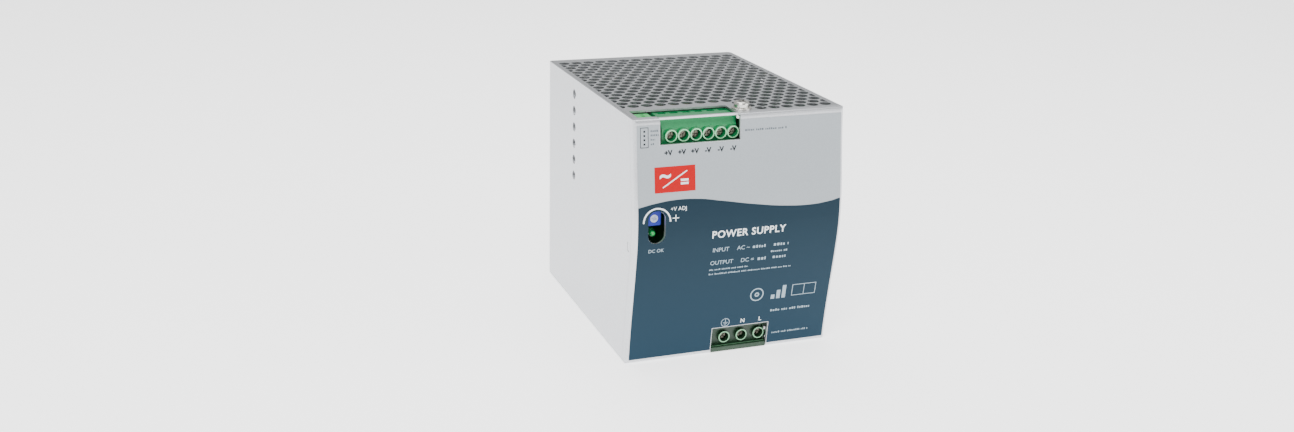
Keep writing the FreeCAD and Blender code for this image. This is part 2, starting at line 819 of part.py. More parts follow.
def transformer_core():
    x1 = board_face - 1.0
    x0 = x1 - core_reach
    z0 = transformer_z - core_height / 2
    z1 = transformer_z + core_height / 2
    y0 = between_sinks_y - core_thickness / 2
    y1 = between_sinks_y + core_thickness / 2
    ring = box(x0, x1, y0, y1, z0, z1)
    post = core_thickness / 2
    limb = core_height / 2 - core_gap - post
    upper = box(x0 + limb, x1 - limb, y0 - 1, y1 + 1, transformer_z + post, z1 - limb)
    lower = box(x0 + limb, x1 - limb, y0 - 1, y1 + 1, z0 + limb, transformer_z - post)
    return ring.cut([upper, lower])


def transformer_winding():
    x1 = board_face - 1.0
    x0 = x1 - core_reach
    post = core_thickness / 2
    limb = core_height / 2 - core_gap - post
    inner_x0 = x0 + limb + 0.3
    inner_x1 = x1 - limb - 0.3
    coil = box(inner_x0, inner_x1, between_sinks_y - winding_half, between_sinks_y + winding_half,
               transformer_z - winding_half, transformer_z + winding_half)
    coil = rounded(coil, 3.0, lambda edge: edge.BoundBox.XLength > 1)
    bore = box(inner_x0 - 1, inner_x1 + 1, between_sinks_y - post - 0.2, between_sinks_y + post + 0.2,
               transformer_z - post - 0.2, transformer_z + post + 0.2)
    return coil.cut(bore)


def toroid(y, z):
    ring = rod_x(board_face - choke_depth, board_face, y, z, choke_radius)
    ring = ring.cut(rod_x(board_face - choke_depth - 1, board_face + 1, y, z, choke_bore))
    return rounded(ring, 2.4, lambda edge: edge.BoundBox.YLength > 1)


def chokes():
    front_y = board_back + front_room / 2 + choke_play / 2
    return [toroid(front_y, main_bottom + 18.1), toroid(between_sinks_y, main_bottom + 23.5)]


def can(y, z, radius, length):
    body = rod_x(board_face - length, board_face, y, z, radius)
    return rounded(body, 1.0, lambda edge: edge.BoundBox.XMax < board_face - length + 1e-3)


def bulk_capacitors():
    y = main_rear - bulk_rear_gap - bulk_radius
    return [can(y, bulk_z + i * bulk_pitch, bulk_radius, bulk_length) for i in range(bulk_count)]


def output_capacitors():
    caps = []
    for column in range(2):
        for row in range(3):
            y = (board_back + output_cap_front_gap + output_cap_radius
                 + column * (2 * output_cap_radius + output_cap_gap))
            z = output_cap_z - row * output_cap_pitch
            caps.append(can(y, z, output_cap_radius, output_cap_length))
    return caps


def film_capacitors():
    blocks = []
    y0 = board_back + film_front_gap
    for row in range(2):
        z0 = main_bottom + 32.0 + row * film_pitch
        block = box(board_face - film_height, board_face, y0, y0 + film_width, z0, z0 + film_depth)
        blocks.append(rounded(block, 0.8, lambda edge: edge.BoundBox.XMax < board_face - film_height + 1e-3))
    return blocks


def build_power():
    save("heat_sinks", [heat_sink(front_sink_y, -1), heat_sink(rear_sink_y, 1)])
    save("power_transistors", power_devices())
    save("transformer_core", [transformer_core()])
    save("transformer_winding", [transformer_winding()])
    save("chokes", chokes())
    save("bulk_capacitors", bulk_capacitors())
    save("output_capacitors", output_capacitors())
    save("film_capacitors", film_capacitors())


# ---- case

latch_y = y_top + 3.2
latch_z = crest_height - 8.9
latch_tooth = 2.2
latch_half_height = 2.0


def chassis():
    outer = box(x_left, x_right, y_crest, y_rear, 0, height)
    outer = rounded(outer, bend_radius, lambda edge: upright(edge) and edge.BoundBox.YMax > y_rear - 1e-3)
    inner = box(inner_left, inner_right, y_crest - 40, inner_rear, -1, height + 1)
    inner = rounded(inner, bend_radius - wall,
                    lambda edge: upright(edge) and edge.BoundBox.YMax > inner_rear - 1e-3)
    shell = outer.cut([inner, front_space(panel_return + seam)])
    cuts = []
    vent_y = y_rear - vent_from_rear
    for i in range(vent_count):
        z = height - vent_from_top - i * vent_pitch
        cuts.append(rod_x(x_left - 1, x_right + 1, vent_y, z, vent_radius))
    cuts.append(box(x_left - 1, x_right + 1, latch_y - latch_tooth / 2 - 0.2, latch_y + latch_tooth / 2 + 0.2,
                    latch_z - latch_half_height - 0.2, latch_z + latch_half_height + 0.2))
    for x, z in rivet_points():
        cuts.append(rod_y(x, inner_rear - 1, y_rear + 1, z, rivet_radius))
    for x, z in case_screw_points():
        cuts.append(rod_y(x, inner_rear - 1, y_rear + 1, z, case_screw_radius + fit_gap))
    return shell.cut(cuts)


def front_panel():
    tray = front_slab(0, panel_return, x_left, x_right)
    tray = rounded(tray, panel_edge_radius, front_edge)
    hollow = front_slab(panel_sheet, panel_return + 5, x_left + panel_sheet, x_right - panel_sheet)
    keep = box(x_left, x_right, y_crest - 5, y_toe + 40, panel_sheet, height - panel_sheet)
    tray = tray.cut(hollow.common(keep))
    notch_x0 = x_left + output_notch_left
    notch_x1 = x_left + output_notch_right
    bar_front = y_top + bar_setback
    notch_z = height - output_notch_depth
    output_cut = box(notch_x0, notch_x1, y_crest - 5, bar_front, notch_z, height + 1)
    behind_bar = box(notch_x0, notch_x1, bar_front + bar_depth, y_toe + 5, notch_z, height + 1)
    under_bar = box(notch_x0, notch_x1, bar_front - 1, y_toe + 5, notch_z, height - bar_thickness)
    input_cut = box(x_left + input_notch_left, x_left + input_notch_right,
                    y_crest - 5, y_toe + panel_return + 2, -1, input_notch_height)
    window = window_tool(0, y_crest - 5, y_crest + panel_sheet + 2)
    panel = tray.cut([output_cut, behind_bar, under_bar, input_cut, window])
    arms = []
    for side in (-1, 1):
        arms.append(latch_arm(side))
    return joined([panel] + arms)


def latch_arm(side):
    """Springy tongue inside the side wall, with a tooth that snaps into the wall's slot."""
    outer = side * (width / 2 - wall - 0.2)
    inner = side * (width / 2 - wall - 0.2 - 1.3)
    root = y_crest + panel_sheet - 0.2
    tongue = box(min(outer, inner), max(outer, inner), root, latch_y + latch_tooth / 2 + 1.0,
                 latch_z - 4.0, latch_z + 4.0)
    tip = side * (width / 2 - 0.1)
    tooth = box(min(inner, tip), max(inner, tip), latch_y - latch_tooth / 2, latch_y + latch_tooth / 2,
                latch_z - latch_half_height, latch_z + latch_half_height)
    return joined([tongue, tooth])


def front_edge(edge):
    """True for the edges around the front face of the tray."""
    area = edge.BoundBox
    side_edge = area.XLength < 1e-3 and area.ZLength > 20 and area.YMax < y_toe + 0.5
    top_edge = area.XLength > 1 and area.ZMin > height - 1e-3 and area.YMax < y_top + 0.01
    toe_edge = area.XLength > 1 and area.ZMax < 1e-3 and area.YMax < y_toe + 0.01
    return side_edge or top_edge or toe_edge


def front_label():
    label = front_slab(-label_thickness, 0, x_left + label_side_margin, x_right - label_side_margin)
    keep = box(x_left, x_right, y_crest - 5, y_toe + 5, label_bottom_margin, height - label_top_margin)
    label = label.common(keep)
    output_cut = box(x_left + output_notch_left - label_gap, x_left + output_notch_right + label_gap,
                     y_crest - 5, y_toe + 5, height - output_notch_depth - label_gap, height + 1)
    input_cut = box(x_left + input_notch_left - label_gap, x_left + input_notch_right + label_gap,
                    y_crest - 5, y_toe + 5, -1, input_notch_height + label_gap)
    window = window_tool(label_window_gap, y_crest - 5, y_crest + 5)
    return label.cut([output_cut, input_cut, window])


def hole_pattern(y_first, y_last, keep_out):
    """Staggered round holes between the side walls, as (x, y), clear of the boxes in keep_out."""
    row_pitch = hole_pitch * math.sqrt(3) / 2
    half_width = width / 2 - wall - grille_sheet - seam - hole_border - hole_radius
    rows = int((y_last - y_first - 2 * (hole_border + hole_radius)) / row_pitch) + 1
    y_start = y_first + hole_border + hole_radius
    points = []
    for row in range(rows):
        count = int(2 * half_width / hole_pitch) + 1
        shift = 0.0
        if row % 2:
            count -= 1
            shift = hole_pitch / 2
        x_start = -(int(2 * half_width / hole_pitch)) * hole_pitch / 2 + shift
        for i in range(count):
            x = x_start + i * hole_pitch
            y = y_start + row * row_pitch
            reach = hole_radius + 0.9
            blocked = False
            for x0, x1, y0, y1 in keep_out:
                if x0 - reach < x < x1 + reach and y0 - reach < y < y1 + reach:
                    blocked = True
            if not blocked:
                points.append((x, y))
    return points


def edge_holes(points, z0):
    """Holes of the staggered rows that the bent side edges cut off."""
    limit = width / 2 - wall - seam - grille_sheet - hole_edge_strip
    outermost = max(x for x, y in points)
    shifted = outermost - hole_pitch / 2
    keep = box(-limit, limit, y_crest, y_rear, z0 - 1, z0 + grille_sheet + 1)
    tools = []
    for x, y in points:
        if abs(abs(x) - shifted) < 1e-6:
            centre = math.copysign(shifted + hole_pitch, x)
            tools.append(rod_z(centre, y, z0 - 1, z0 + grille_sheet + 1, hole_radius).common(keep))
    return tools


def perforated(x0, x1, y0, y1, z0, points):
    """Plate with round holes, made as one face and lifted by the sheet's thickness."""
    corners = [
        FreeCAD.Vector(x0, y0, z0),
        FreeCAD.Vector(x1, y0, z0),
        FreeCAD.Vector(x1, y1, z0),
        FreeCAD.Vector(x0, y1, z0),
    ]
    outline = Part.makePolygon(corners + corners[:1])
    wires = [outline]
    for x, y in points:
        wires.append(Part.Wire(Part.makeCircle(hole_radius, FreeCAD.Vector(x, y, z0))))
    return Part.makeFace(wires, "Part::FaceMakerBullseye").extrude(FreeCAD.Vector(0, 0, grille_sheet))


def trimmed_corners(plate):
    """Round the rear corners to lie inside the bends of the case."""
    return rounded(plate, bend_radius - wall + 0.4,
                   lambda edge: upright(edge) and edge.BoundBox.YMin > grille_y1 - 1e-3)


def flanges(x0, x1, y0, y1, z0, z1):
    """Edges of a grille bent away from its plate at the left, the right and the rear."""
    left = box(x0, x0 + grille_sheet, y0, y1, z0, z1)
    right = box(x1 - grille_sheet, x1, y0, y1, z0, z1)
    rear = box(x0, x1, y1 - grille_sheet, y1, z0, z1)
    return [left, right, rear]


grille_x0 = inner_left + seam
grille_x1 = inner_right - seam
grille_y1 = inner_rear - seam
top_y0 = y_top + panel_return + seam
bottom_y0 = y_toe + panel_return + seam
terminal_opening = (x_left + 4.0, x_left + output_notch_right - 0.4, y_top,
                    output_at["cage_back_inner"] + 0.2)
signal_opening = (x_left + 4.0, signal_x + plug_half_width + 0.9, y_top,
                  signal_mid + plug_half_length + 0.9)
input_opening = (input_x[0] - input_left_margin - 0.5, input_x[-1] + input_right_margin + 0.5, y_toe,
                 board_back + 1.6)
earth_x = x_left + earth_from_left
earth_y = y_top + earth_from_front


def top_grille():
    z0 = height - grille_sheet
    earth_area = (earth_x - earth_washer_radius + 2.5, earth_x + earth_washer_radius - 2.5,
                  y_top, earth_y + earth_washer_radius - 2.5)
    points = hole_pattern(top_y0, grille_y1 - grille_sheet, [terminal_opening, signal_opening, earth_area])
    plate = perforated(grille_x0, grille_x1, top_y0, grille_y1, z0, points)
    edges = flanges(grille_x0, grille_x1, top_y0, grille_y1, height - grille_flange, z0 + 0.5)
    plate = trimmed_corners(joined([plate] + edges))
    cuts = edge_holes(points, z0)
    for x0, x1, y0, y1 in (terminal_opening, signal_opening):
        cuts.append(box(x0, x1, y0, y1, z0 - 0.01, height + 1))
    cuts.append(rod_z(earth_x, earth_y, z0 - 1, height + 1, earth_screw_radius + fit_gap))
    for x, z in case_screw_points():
        if z > height / 2:
            cuts.append(rod_y(x, grille_y1 - 2, grille_y1 + 1, z, case_screw_radius))
    return plate.cut(cuts)


def bottom_grille():
    points = hole_pattern(bottom_y0, grille_y1 - grille_sheet, [input_opening])
    plate = perforated(grille_x0, grille_x1, bottom_y0, grille_y1, 0, points)
    edges = flanges(grille_x0, grille_x1, bottom_y0, grille_y1, grille_sheet - 0.5, grille_flange)
    plate = trimmed_corners(joined([plate] + edges))
    x0, x1, y0, y1 = input_opening
    cuts = edge_holes(points, 0) + [box(x0, x1, y0, y1, -1, grille_sheet + 0.01)]
    for x, z in case_screw_points():
        if z < height / 2:
            cuts.append(rod_y(x, grille_y1 - 2, grille_y1 + 1, z, case_screw_radius))
    return plate.cut(cuts)


def case_screw_points():
    """Pan-head screws in the rear wall that hold the two grilles."""
    offset = width / 2 - 15.0
    upper = height - (grille_flange + grille_sheet) / 2
    lower = (grille_flange + grille_sheet) / 2
    return [(-offset, upper), (offset, upper), (-offset, lower), (offset, lower)]


def pan_screw(x, z):
    head = rod_y(x, y_rear, y_rear + case_head_height, z, case_head_radius)
    head = rounded(head, 0.9, lambda edge: edge.BoundBox.YMin > y_rear + case_head_height - 1e-3)
    shank = rod_y(x, grille_y1 - 3.0, y_rear, z, case_screw_radius - 0.02)
    slot = box(x - 1.6, x + 1.6, y_rear + case_head_height - 1.0, y_rear + 5, z - 0.35, z + 0.35)
    cross = box(x - 0.35, x + 0.35, y_rear + case_head_height - 1.0, y_rear + 5, z - 1.6, z + 1.6)
    return joined([head, shank]).cut([slot, cross])


def earth_screw():
    base = height + earth_washer_thickness
    head = rod_z(earth_x, earth_y, base, base + earth_head_height, earth_head_radius)
    head = rounded(head, 1.3, lambda edge: edge.BoundBox.ZMin > base + earth_head_height - 1e-3)
    shank = rod_z(earth_x, earth_y, height - 5.5, base, earth_screw_radius)
    deep = base + earth_head_height - 1.5
    slot = box(earth_x - 2.3, earth_x + 2.3, earth_y - 0.45, earth_y + 0.45, deep, base + 5)
    cross = box(earth_x - 0.45, earth_x + 0.45, earth_y - 2.3, earth_y + 2.3, deep, base + 5)
    slots = joined([slot, cross])
    slots.rotate(FreeCAD.Vector(earth_x, earth_y, 0), FreeCAD.Vector(0, 0, 1), 32)
    return joined([head, shank]).cut(slots)


def earth_washer():
    disc = rod_z(earth_x, earth_y, height, height + earth_washer_thickness, earth_washer_radius)
    disc = rounded(disc, 0.25, lambda edge: edge.BoundBox.ZMin > height + earth_washer_thickness - 1e-3)
    return disc.cut(rod_z(earth_x, earth_y, height - 1, height + 2, earth_screw_radius + fit_gap))


def earth_nut():
    across = 3.5
    corners = []
    for i in range(7):
        angle = math.radians(60 * i + 30)
        reach = across / math.cos(math.radians(30))
        corners.append(FreeCAD.Vector(earth_x + reach * math.cos(angle), earth_y + reach * math.sin(angle),
                                      height - grille_sheet - 3.2))
    nut = Part.Face(Part.makePolygon(corners)).extrude(FreeCAD.Vector(0, 0, 3.2))
    return nut.cut(rod_z(earth_x, earth_y, height - 8, height, earth_screw_radius + fit_gap))


def build_case():
    save("chassis", [chassis()])
    save("front_panel", [front_panel()])
    save("front_label", [front_label()])
    save("top_grille", [top_grille()])
    save("bottom_grille", [bottom_grille()])
    save("case_screws", [pan_screw(x, z) for x, z in case_screw_points()])
    save("earth_screw", [earth_screw()])
    save("earth_washer", [earth_washer()])
    save("earth_nut", [earth_nut()])


# ---- DIN rail clip on the rear wall

plate_front = y_rear + slider_sheet + 2 * slider_play
plate_back = plate_front + bracket_sheet
lip_front = plate_back + rail_edge + rail_clearance
lip_back = lip_front + lip_thickness
rail_top = rail_centre + rail_height / 2
rail_bottom = rail_centre - rail_height / 2
bracket_bottom = rail_bottom - 4.5
bracket_top = rail_top + bracket_over_rail
notch_top = rail_bottom + 5.5
spring_y = plate_front + bracket_sheet + 0.25
spring_low = notch_top + 7.0
spring_high = rail_centre + 10.0
tab_thickness = 1.0
tab_half = 1.6
window_half = 2.3


def rivet_points():
    points = []
    for side in (-1, 1):
        for level in (-1, 1):
            points.append((side * rivet_spread_x / 2, rail_centre + level * rivet_spread_z / 2))
    return points


def clip_bracket():
    half = bracket_width / 2
    plate = box(-half, half, plate_front, plate_back, bracket_bottom, bracket_top)
    plate = rounded(plate, 2.5, lambda edge: along_y(edge))
    hooks = []
    for side in (-1, 1):
        near = side * 10.0
        far = side * (half - 3.0)
        shelf = box(min(near, far), max(near, far), plate_front, lip_back,
                    rail_top + rail_clearance, rail_top + rail_clearance + lip_thickness)
        lip = box(min(near, far), max(near, far), lip_front, lip_back,
                  rail_top - lip_overlap, rail_top + rail_clearance + lip_thickness)
        hooks.extend([shelf, lip])
    feet = [rod_y(x, y_rear, plate_front + 0.2, z, 4.5) for x, z in rivet_points()]
    guide = slider_width / 2 + slider_play
    guides = [box(guide, guide + 2.0, y_rear, plate_front + 0.2, notch_top + 2.0, bracket_top - 3.0),
              box(-guide - 2.0, -guide, y_rear, plate_front + 0.2, notch_top + 2.0, bracket_top - 3.0)]
    bracket = joined([plate] + hooks + feet + guides)
    cuts = [
        box(-guide - 0.4, guide + 0.4, y_rear - 1, lip_back + 1, bracket_bottom - 1, notch_top),
        box(-window_half, window_half, y_rear - 1, lip_back + 1, notch_top - 1, spring_high + tab_thickness),
    ]
    for x, z in rivet_points():
        cuts.append(rod_y(x, y_rear - 1, plate_back + 1, z, rivet_radius))
    bracket = bracket.cut(cuts)
    hanger = box(-window_half - 0.5, window_half + 0.5, plate_front, plate_back,
                 spring_high, spring_high + tab_thickness)
    hanger_tab = box(-tab_half, tab_half, plate_front, spring_y + spring_radius, spring_high,
                     spring_high + tab_thickness)
    return joined([bracket, hanger, hanger_tab])


def clip_slider():
    half = slider_width / 2
    front = y_rear + slider_play
    back = front + slider_sheet
    hook_top = rail_bottom - rail_clearance
    tail_end = bracket_bottom - slider_tail
    tongue = box(-half, half, front, back, tail_end, spring_high - 3.0)
    tongue = rounded(tongue, 2.0, lambda edge: along_y(edge))
    shelf = box(-half + 1.5, half - 1.5, front, lip_back, hook_top - lip_thickness, hook_top)
    lip = box(-half + 1.5, half - 1.5, lip_front, lip_back,
              hook_top - lip_thickness, rail_bottom + lip_overlap)
    lug = box(-tab_half, tab_half, front, spring_y + spring_radius, spring_low - tab_thickness, spring_low)
    slot_z = tail_end + 4.0
    slot = joined([
        box(-3.5, 3.5, front - 1, back + 1, slot_z, slot_z + 3.0),
        rod_y(-3.5, front - 1, back + 1, slot_z + 1.5, 1.5),
        rod_y(3.5, front - 1, back + 1, slot_z + 1.5, 1.5),
    ])
    return joined([tongue, shelf, lip, lug]).cut(slot)


def clip_spring():
    """Coil spring from the slider's lug up to the bracket's hanger."""
    low = spring_low + fit_gap + spring_wire / 2
    high = spring_high - fit_gap - spring_wire / 2
    length = high - low
    radius = spring_radius - spring_wire / 2
    helix = Part.makeHelix(length / spring_turns, length, radius)
    start = FreeCAD.Vector(radius, 0, 0)
    ring = Part.makeCircle(spring_wire / 2, start, FreeCAD.Vector(0, 1, 0))
    pipe = Part.Wire(helix.Edges).makePipeShell([Part.Wire(ring)], True, True)
    pipe.translate(FreeCAD.Vector(0, spring_y, low))
    return pipe


def clip_rivets():
    rivets = []
    for x, z in rivet_points():
        shank = rod_y(x, inner_rear - 0.6, plate_back, z, rivet_radius - 0.02)
        outer_head = rod_y(x, plate_back, plate_back + rivet_head, z, rivet_head_radius)
        outer_head = rounded(outer_head, 0.8,
                             lambda edge: edge.BoundBox.YMin > plate_back + rivet_head - 1e-3)
        inner_head = rod_y(x, inner_rear - 0.9, inner_rear, z, rivet_radius + 0.8)
        rivets.append(joined([shank, outer_head, inner_head]))
    return rivets


def build_clip():
    save("clip_bracket", [clip_bracket()])
    save("clip_slider", [clip_slider()])
    save("clip_spring", [clip_spring()])
    save("clip_rivets", clip_rivets())


os.makedirs("parts", exist_ok=True)
build_case()
build_clip()
build_terminals()
build_signal()
build_boards()
build_power()
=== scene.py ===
import bpy
import bmesh
import math
import random
from mathutils import Matrix, Vector
from mathutils.bvhtree import BVHTree


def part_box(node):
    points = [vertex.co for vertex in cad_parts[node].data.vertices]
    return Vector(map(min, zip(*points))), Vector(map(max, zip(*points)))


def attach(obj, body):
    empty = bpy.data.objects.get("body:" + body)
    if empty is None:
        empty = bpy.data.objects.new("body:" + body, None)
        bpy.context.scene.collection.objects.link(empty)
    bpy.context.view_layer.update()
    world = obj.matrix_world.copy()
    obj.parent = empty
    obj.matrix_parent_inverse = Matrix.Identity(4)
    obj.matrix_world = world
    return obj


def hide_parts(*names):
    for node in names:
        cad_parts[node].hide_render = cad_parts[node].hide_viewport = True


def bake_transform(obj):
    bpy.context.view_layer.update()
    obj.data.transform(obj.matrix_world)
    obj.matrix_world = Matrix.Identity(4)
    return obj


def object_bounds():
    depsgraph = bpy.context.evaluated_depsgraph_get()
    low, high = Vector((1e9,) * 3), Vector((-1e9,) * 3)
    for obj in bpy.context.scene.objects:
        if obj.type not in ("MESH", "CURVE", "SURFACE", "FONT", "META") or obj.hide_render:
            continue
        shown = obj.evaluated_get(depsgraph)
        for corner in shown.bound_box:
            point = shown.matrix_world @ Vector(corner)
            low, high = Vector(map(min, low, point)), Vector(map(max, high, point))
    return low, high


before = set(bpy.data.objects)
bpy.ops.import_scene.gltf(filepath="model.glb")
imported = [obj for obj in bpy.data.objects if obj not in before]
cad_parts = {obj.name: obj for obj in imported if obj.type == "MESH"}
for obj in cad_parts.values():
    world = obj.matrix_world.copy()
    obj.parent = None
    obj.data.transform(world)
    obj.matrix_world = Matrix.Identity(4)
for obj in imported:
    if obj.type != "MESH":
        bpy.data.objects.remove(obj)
cadLow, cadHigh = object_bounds()
mm = 0.001
print("frame loaded:", len(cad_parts), "parts")


# colour and node helpers

grainLow = 0.3      # noise below this is all dark tone
grainHigh = 0.7     # noise above this is all light tone
grainDetail = 3.0


def fromHex(code):
    channels = []
    for start in (0, 2, 4):
        value = int(code[start:start + 2], 16) / 255
        channels.append(value / 12.92 if value <= 0.04045 else ((value + 0.055) / 1.055) ** 2.4)
    return (*channels, 1.0)


def addNode(tree, kind, values=None, links=None, **settings):
    node = tree.nodes.new(kind)
    for name, value in settings.items():
        setattr(node, name, value)
    for socket, value in (values or {}).items():
        node.inputs[socket].default_value = value
    for socket, source in (links or {}).items():
        tree.links.new(source, node.inputs[socket])
    return node


def newMaterial(name):
    material = bpy.data.materials.new(name)
    material.use_nodes = True
    tree = material.node_tree
    tree.nodes.clear()
    place = addNode(tree, "ShaderNodeTexCoord").outputs["Object"]
    return material, tree, place


def finishMaterial(tree, values, links):
    shader = addNode(tree, "ShaderNodeBsdfPrincipled", values, links)
    addNode(tree, "ShaderNodeOutputMaterial", links={"Surface": shader.outputs["BSDF"]})


def grainBump(tree, place, grainMm, depthMm, strength, stretch=(1, 1, 1)):
    spread = addNode(tree, "ShaderNodeMapping", {"Scale": stretch}, {"Vector": place})
    grain = addNode(tree, "ShaderNodeTexNoise", {"Scale": 1 / (grainMm * mm), "Detail": grainDetail},
                    {"Vector": spread.outputs["Vector"]})
    bump = addNode(tree, "ShaderNodeBump", {"Strength": strength, "Distance": depthMm * mm},
                   {"Height": grain.outputs["Fac"]})
    return grain.outputs["Fac"], bump.outputs["Normal"]


def twoTone(tree, factor, low, high, darkHex, lightHex):
    ramp = addNode(tree, "ShaderNodeMapRange", {"From Min": low, "From Max": high}, {"Value": factor})
    mix = addNode(tree, "ShaderNodeMix", {"A": fromHex(darkHex), "B": fromHex(lightHex)},
                  {"Factor": ramp.outputs["Result"]}, data_type="RGBA")
    return mix.outputs["Result"]


def grainyMaterial(name, look):
    material, tree, place = newMaterial(name)
    fac, normal = grainBump(tree, place, look["grain"], look["depth"], look["strength"],
                            look.get("stretch", (1, 1, 1)))
    colour = twoTone(tree, fac, grainLow, grainHigh, look["dark"], look["light"])
    values = {"Metallic": look.get("metallic", 0.0), "Roughness": look["roughness"]}
    values.update(look.get("extra", {}))
    finishMaterial(tree, values, {"Base Color": colour, "Normal": normal})
    return material


# plain finishes: dark and light are the grain's two tones, grain and depth are in millimetres

looks = {
    # aluminium sheet, bead-blasted before bending: soft satin grey with a fine sparkle
    "blastedAluminium": {"dark": "BFC1C5", "light": "CED0D3", "metallic": 0.9, "roughness": 0.38,
                         "grain": 0.6, "depth": 0.02, "strength": 0.12},
    # punched aluminium sheet: a little darker and shinier than the case
    "punchedAluminium": {"dark": "B9BBBE", "light": "CDCFD1", "metallic": 1.0, "roughness": 0.36,
                         "grain": 0.7, "depth": 0.02, "strength": 0.15},
    # nickel-plated steel, turned and polished: bright with sharp glints
    "nickelSteel": {"dark": "C9C6BF", "light": "DAD8D2", "metallic": 1.0, "roughness": 0.22,
                    "grain": 0.4, "depth": 0.01, "strength": 0.08},
    # zinc-plated steel sheet, passivated: cool grey with faint cloudy spangle
    "zincSheet": {"dark": "8A8E93", "light": "A8ACB0", "metallic": 1.0, "roughness": 0.34,
                  "grain": 3.5, "depth": 0.01, "strength": 0.1},
    # music wire, drawn: dark steel grey with lengthwise gloss
    "drawnWire": {"dark": "74767A", "light": "8D8F92", "metallic": 1.0, "roughness": 0.3,
                  "grain": 0.3, "depth": 0.005, "strength": 0.1},
    # zinc-plated steel screws, passivated yellowish, with painted shade: their colour is darkened for the
    # shade in their wells
    "wellShadedSteel": {"dark": "6E6A60", "light": "8B877B", "metallic": 1.0, "roughness": 0.45,
                        "grain": 0.4, "depth": 0.01, "strength": 0.1},
    # tinned brass, stamped: warm grey, soft shine
    "tinnedBrass": {"dark": "B3A98C", "light": "CDC5AC", "metallic": 1.0, "roughness": 0.33,
                    "grain": 0.5, "depth": 0.01, "strength": 0.1},
    # polyamide, injection moulded in light green: bright and slightly waxy
    "lightPolyamide": {"dark": "2FA553", "light": "3BB561", "roughness": 0.4,
                       "grain": 0.35, "depth": 0.01, "strength": 0.12},
    # PBT, injection moulded in blue: saturated and half gloss
    "bluePbt": {"dark": "14228A", "light": "1D2F9C", "roughness": 0.38,
                "grain": 0.3, "depth": 0.01, "strength": 0.1, "extra": {"Specular IOR Level": 0.25}},
    # PBT, injection moulded in white
    "whitePbt": {"dark": "A9B2CC", "light": "BAC2D8", "roughness": 0.4,
                 "grain": 0.3, "depth": 0.01, "strength": 0.1},
    # glass-epoxy laminate under solder mask: dark green, glassy skin over a faint weave
    "boardLaminate": {"dark": "17472A", "light": "20583A", "roughness": 0.28,
                      "grain": 0.5, "depth": 0.01, "strength": 0.15},
    # polyester insulating film, extruded: milky, half see-through
    "polyesterFilm": {"dark": "D9D6C4", "light": "E6E3D3", "roughness": 0.35,
                      "grain": 1.2, "depth": 0.01, "strength": 0.08},
    # extruded aluminium: bright with die lines along the fins
    "extrudedAluminium": {"dark": "B4B7BA", "light": "DADCDD", "metallic": 1.0, "roughness": 0.3,
                          "grain": 0.5, "depth": 0.02, "strength": 0.2, "stretch": (1, 1, 0.03)},
    # transfer-moulded epoxy: near black, fine matte
    "mouldedEpoxy": {"dark": "18181A", "light": "232326", "roughness": 0.6,
                     "grain": 0.25, "depth": 0.01, "strength": 0.15},
    # sintered ferrite, ground: charcoal and granular
    "sinteredFerrite": {"dark": "2A2A2C", "light": "3B3B3D", "roughness": 0.55,
                        "grain": 0.4, "depth": 0.02, "strength": 0.2},
    # polyester tape, wound in layers: yellow with a soft sheen
    "windingTape": {"dark": "C8B23C", "light": "DCC84E", "roughness": 0.32,
                    "grain": 2.0, "depth": 0.02, "strength": 0.12},
    # PVC sleeve, heat-shrunk: black-blue and glossy
    "shrunkSleeve": {"dark": "15171C", "light": "20232A", "roughness": 0.25,
                     "grain": 1.0, "depth": 0.01, "strength": 0.1},
    # filled epoxy in a moulded box: dull yellow, half gloss
    "filmBox": {"dark": "C79A24", "light": "D8AC34", "roughness": 0.35,
                "grain": 0.4, "depth": 0.01, "strength": 0.1},
}
finish = {name: grainyMaterial(name, look) for name, look in looks.items()}


# terminal green: PBT, injection moulded; the paler front rims are a painted highlight, standing in for the
# light the rim edges catch

terminalLook = {"dark": "0E7040", "light": "1A854C", "rim": "86D09B", "rimDepth": 0.45,
                "grain": 0.35, "depth": 0.01, "strength": 0.12, "roughness": 0.36}


def rimmedPlastic(name, look, rimY):
    material, tree, place = newMaterial(name)
    fac, normal = grainBump(tree, place, look["grain"], look["depth"], look["strength"])
    base = twoTone(tree, fac, grainLow, grainHigh, look["dark"], look["light"])
    axes = addNode(tree, "ShaderNodeSeparateXYZ", links={"Vector": place})
    away = addNode(tree, "ShaderNodeMath", {1: rimY}, {0: axes.outputs["Y"]}, operation="SUBTRACT")
    depth = addNode(tree, "ShaderNodeMath", links={0: away.outputs["Value"]}, operation="ABSOLUTE")
    # painted highlight: faces close to the given front plane are mixed towards a paler green
    rim = addNode(tree, "ShaderNodeMapRange", {"From Min": look["rimDepth"] * mm, "From Max": 0.0},
                  {"Value": depth.outputs["Value"]})
    mix = addNode(tree, "ShaderNodeMix", {"B": fromHex(look["rim"])},
                  {"Factor": rim.outputs["Result"], "A": base}, data_type="RGBA")
    finishMaterial(tree, {"Roughness": look["roughness"]},
                   {"Base Color": mix.outputs["Result"], "Normal": normal})
    return material


finish["terminalPbt"] = rimmedPlastic("terminalPbt", terminalLook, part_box("output_terminal")[0].y)
# input block: polyamide, injection moulded in green; its darker green is painted shade for the shadow it sits
# in low on the front, and its paler tower fronts are a painted highlight; its towers stand back from the
# block's front
inputLook = dict(terminalLook, dark="102C19", light="183A22", rim="7FB78C", rimDepth=0.3, towerSetback=1.7)
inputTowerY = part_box("input_terminal")[0].y + inputLook["towerSetback"] * mm
finish["shadowedPolyamide"] = rimmedPlastic("shadowedPolyamide", inputLook, inputTowerY)
